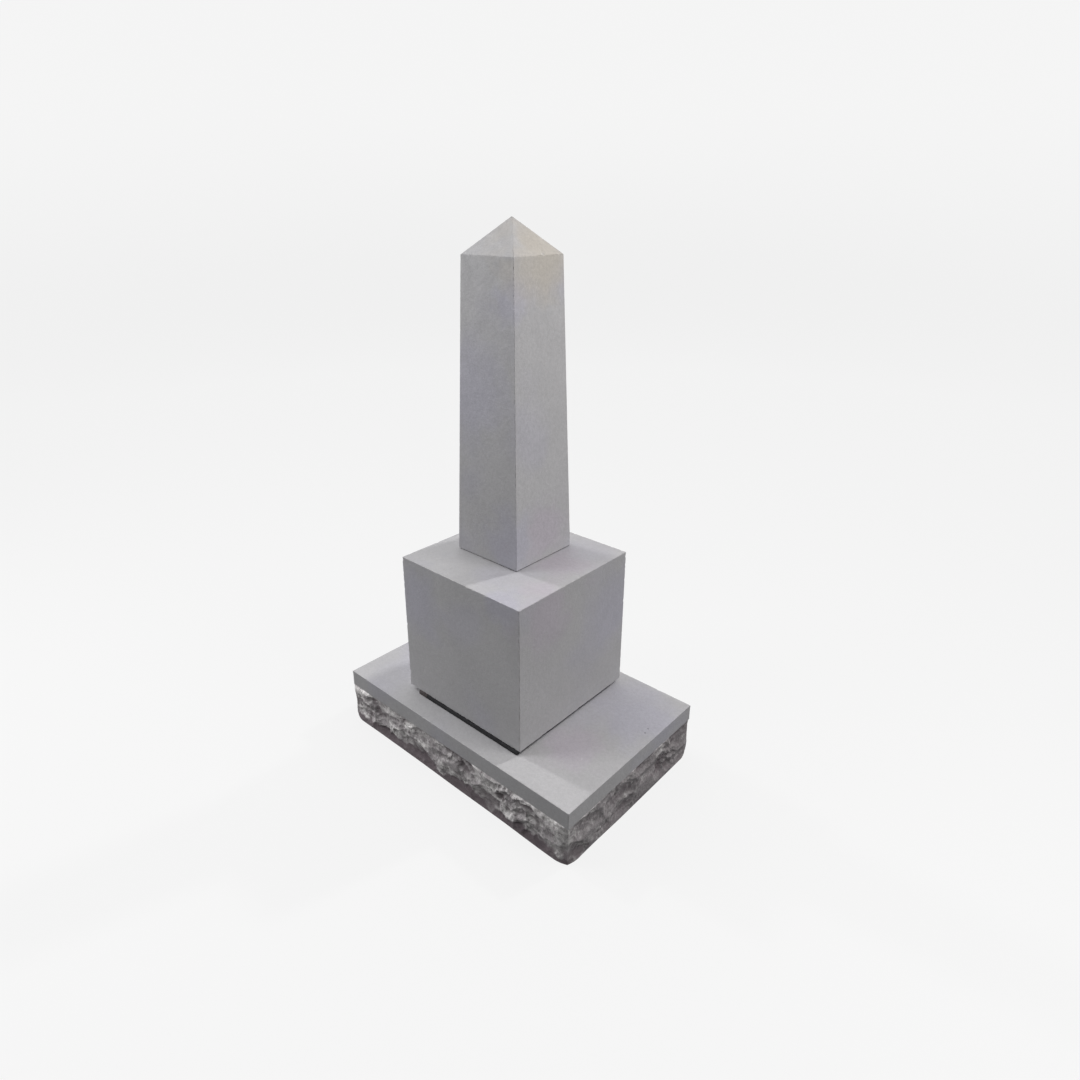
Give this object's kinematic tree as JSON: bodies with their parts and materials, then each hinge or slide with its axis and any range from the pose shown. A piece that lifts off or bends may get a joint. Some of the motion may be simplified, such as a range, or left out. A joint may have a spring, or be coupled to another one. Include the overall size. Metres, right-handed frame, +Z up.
{
  "type": "stone obelisk",
  "caption": "Free-standing stone obelisk: tapered square shaft with a pyramid top on a square die block and a low base slab with rock-pitched sides.",
  "frame": {"origin": "centre of the base slab's underside, on the ground", "axes": "+Z up, +X along the base slab's long side, -Y out of its long front"},
  "size_m": [0.794, 0.512, 1.34],
  "materials": {
    "base_stone": "honed top and margins, rock-pitched sides",
    "black_sheet": "dull",
    "brown_packer": "dull",
    "die_stone": "fine rubbed",
    "bed_joint": "matt mortar",
    "shaft_stone": "fine rubbed"
  },
  "bodies": {
    "root": {"base_slab": "base_stone", "packing_sheet": "black_sheet", "end_packer": "brown_packer", "die_block": "die_stone", "shaft_bed": "bed_joint", "shaft": "shaft_stone"}
  },
  "joints": []
}
